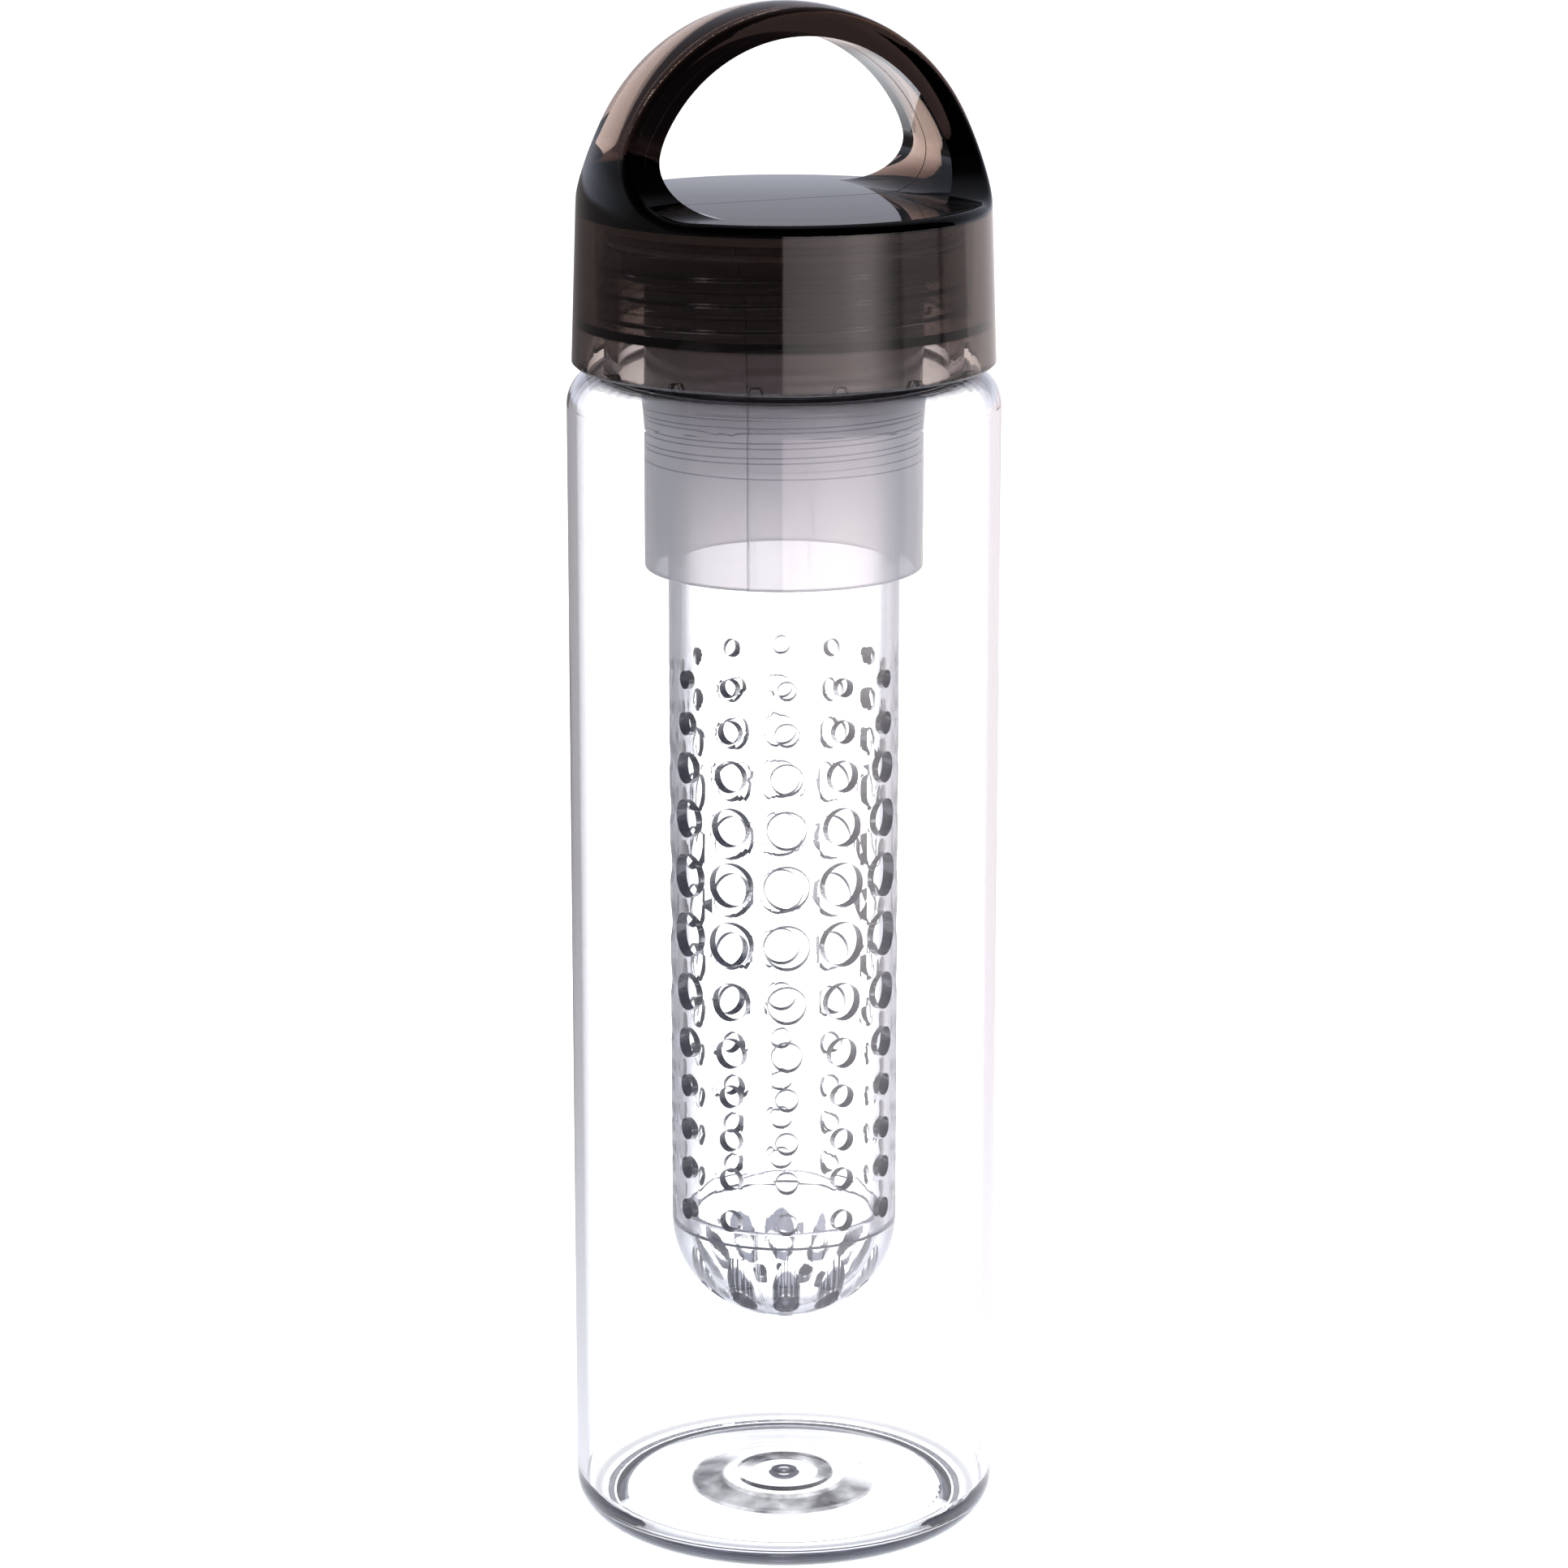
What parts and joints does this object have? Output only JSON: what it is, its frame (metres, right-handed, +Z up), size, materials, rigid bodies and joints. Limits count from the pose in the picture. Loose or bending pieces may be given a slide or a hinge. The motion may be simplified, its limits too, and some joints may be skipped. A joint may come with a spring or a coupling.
{
  "type": "fruit infuser water bottle",
  "caption": "Clear water bottle with a smoky screw lid and loop handle, and a perforated infuser tube hung from a milky collar.",
  "frame": {"origin": "centre of the base, on the surface that the bottle stands on", "axes": "+Z up along the bottle's axis; the loop handle stands in the XZ plane"},
  "size_m": [0.073, 0.073, 0.2627],
  "materials": {
    "clear_plastic": "clear, polished",
    "infuser_plastic": "clear, polished",
    "smoky_plastic": "smoky see-through, polished",
    "milky_plastic": "milky, lightly polished",
    "silicone": "soft, matt"
  },
  "bodies": {
    "bottle": {"bottle_body": "clear_plastic"},
    "lid_ring": {"lid_seal": "silicone"},
    "lid": {"lid": "smoky_plastic"},
    "infuser_ring": {"collar_seal": "silicone"},
    "collar": {"infuser_collar": "milky_plastic"},
    "tube": {"infuser_tube": "infuser_plastic"},
    "end_cap": {"infuser_end_cap": "infuser_plastic"}
  },
  "joints": [
    {"name": "lid_rise", "type": "slide", "parent": "bottle", "child": "lid_ring", "axis": [0, 0, 1], "range_m": [0, 0.0245]},
    {"name": "lid_turn", "type": "hinge", "parent": "lid_ring", "child": "lid", "pos_m": [0, 0, 0.2027], "axis": [0, 0, 1], "range_deg": [0, 2088]},
    {"name": "infuser_lift", "type": "slide", "parent": "bottle", "child": "infuser_ring", "axis": [0, 0, 1], "range_m": [0, 0.0245]},
    {"name": "collar_turn", "type": "hinge", "parent": "infuser_ring", "child": "collar", "pos_m": [0, 0, 0.1878], "axis": [0, 0, 1], "range_deg": [0, 1332]},
    {"name": "tube_drop", "type": "slide", "parent": "infuser_ring", "child": "tube", "axis": [0, 0, -1], "range_m": [0, 0.0092]},
    {"name": "cap_pull", "type": "slide", "parent": "tube", "child": "end_cap", "axis": [0, 0, -1], "range_m": [0, 0.008]}
  ],
  "couplings": [
    {"joint": "lid_rise", "follows": "lid_turn", "m_per_rad": 0.00066845},
    {"joint": "infuser_lift", "follows": "lid_turn", "m_per_rad": 0.00066845},
    {"joint": "tube_drop", "follows": "collar_turn", "m_per_rad": 0.00038993}
  ]
}
